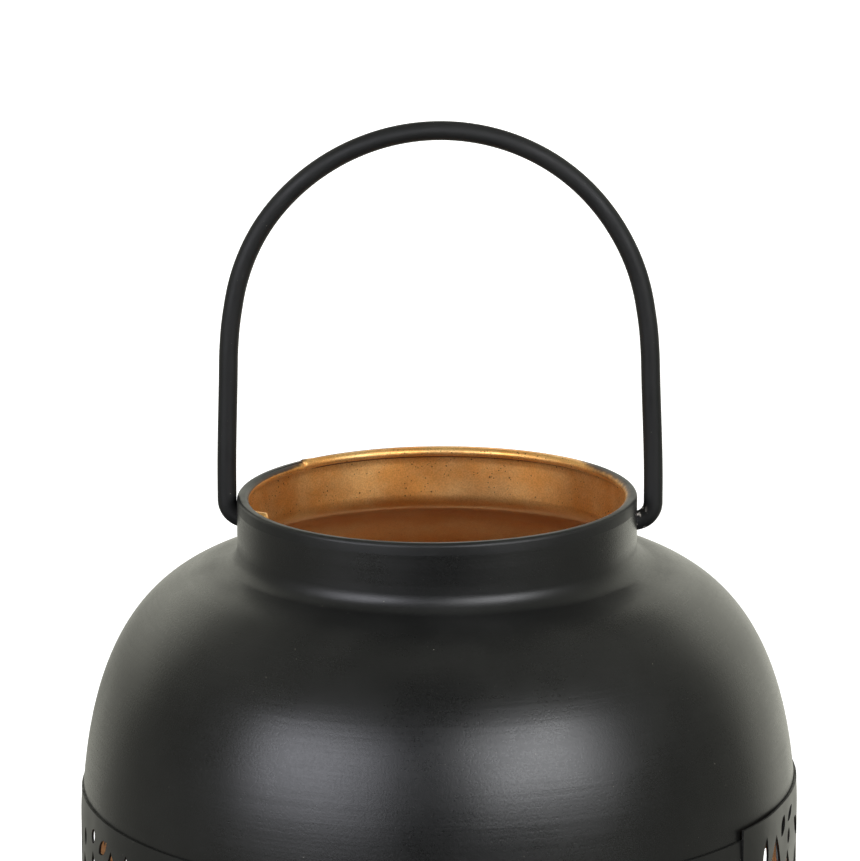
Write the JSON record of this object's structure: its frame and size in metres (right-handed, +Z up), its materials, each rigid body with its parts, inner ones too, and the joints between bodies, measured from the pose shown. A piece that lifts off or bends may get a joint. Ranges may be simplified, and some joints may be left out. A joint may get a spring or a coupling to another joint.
{
  "type": "candle lantern",
  "caption": "Round metal candle lantern with a domed top and open neck, a leaf-pierced band, a bowl-shaped base and a swinging wire bail.",
  "frame": {"origin": "under the middle of the base, on the surface that the pads stand on", "axes": "+Z up through the neck, -Y the front, +X to the right; the bail's pivot lies along X"},
  "size_m": [0.19, 0.19, 0.3029],
  "materials": {
    "black_paint": "satin black paint outside, copper paint inside",
    "black_wire": "satin black paint on steel wire",
    "copper_paint": "metallic copper paint",
    "pad_rubber": "matt"
  },
  "bodies": {
    "lantern": {"top_dome": "black_paint", "rim_wire": "copper_paint", "pierced_band": "black_paint", "base_bowl": "black_paint", "candle_plate": "copper_paint", "foot_pads": "pad_rubber"},
    "bail": {"bail_handle": "black_wire"}
  },
  "joints": [
    {"name": "bail_swing", "type": "hinge", "parent": "lantern", "child": "bail", "pos_m": [0, 0, 0.197], "axis": [1, 0, 0], "range_deg": [-106, 106]}
  ]
}
